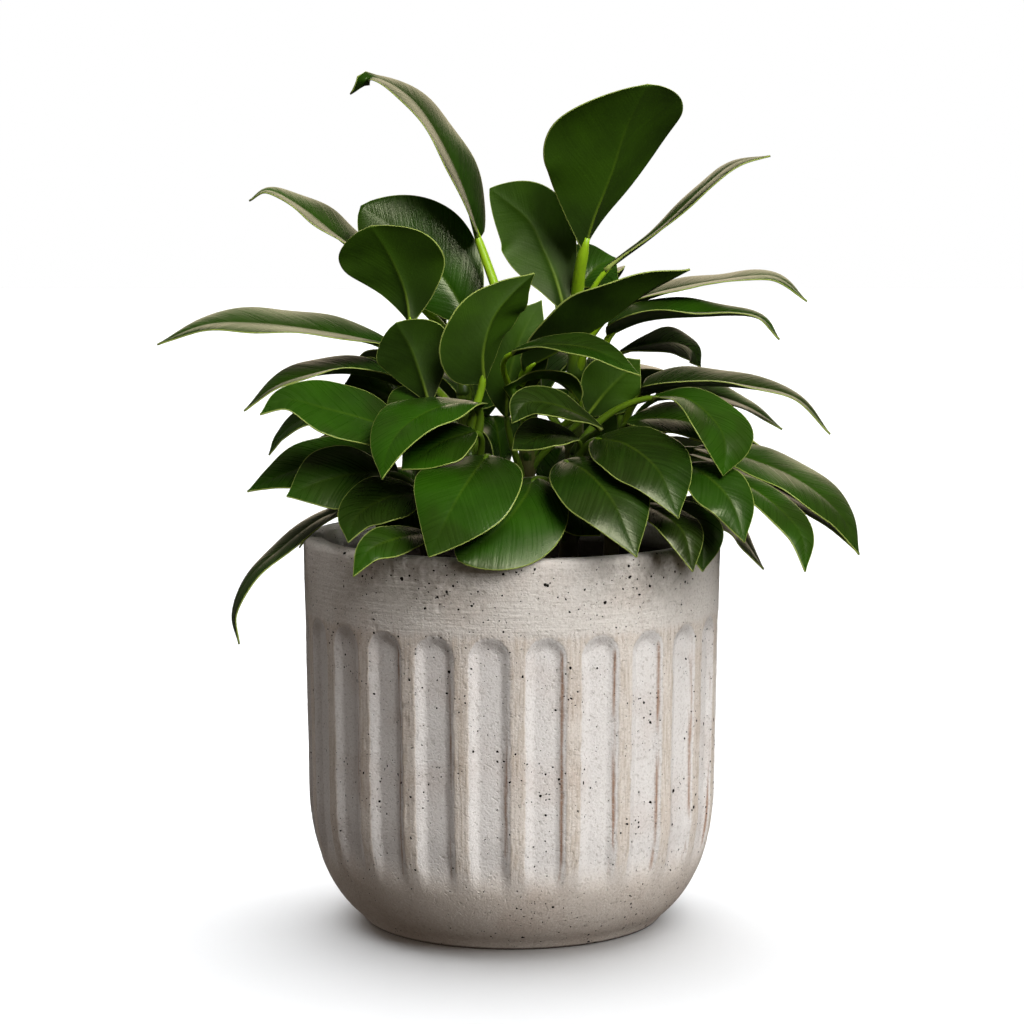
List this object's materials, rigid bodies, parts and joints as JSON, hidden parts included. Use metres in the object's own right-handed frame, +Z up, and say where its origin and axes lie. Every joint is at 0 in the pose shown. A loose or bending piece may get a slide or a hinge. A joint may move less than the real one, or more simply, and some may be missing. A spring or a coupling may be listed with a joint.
{
  "type": "potted philodendron",
  "caption": "Bushy aroid house plant with pointed, glossy green leaves, growing in a round fluted concrete pot filled with soil.",
  "frame": {"origin": "middle of the pot's flat underside", "axes": "+Z up along the pot's axis, -Y towards the front that the picture shows, +X to the right in it"},
  "size_m": [0.28, 0.2051, 0.3459],
  "materials": {
    "concrete": "cast, matte, with small air holes",
    "soil": "crumbly, matte",
    "foliage": "waxy, half gloss"
  },
  "bodies": {
    "root": {"pot": "concrete", "soil": "soil", "leafy_stem_left": "foliage", "leafy_stem_front_left": "foliage", "leafy_stem_front_right": "foliage", "leafy_stem_right": "foliage", "leafy_stem_back_right": "foliage", "leafy_stem_back_left": "foliage", "leafy_stem_centre": "foliage"}
  },
  "joints": []
}
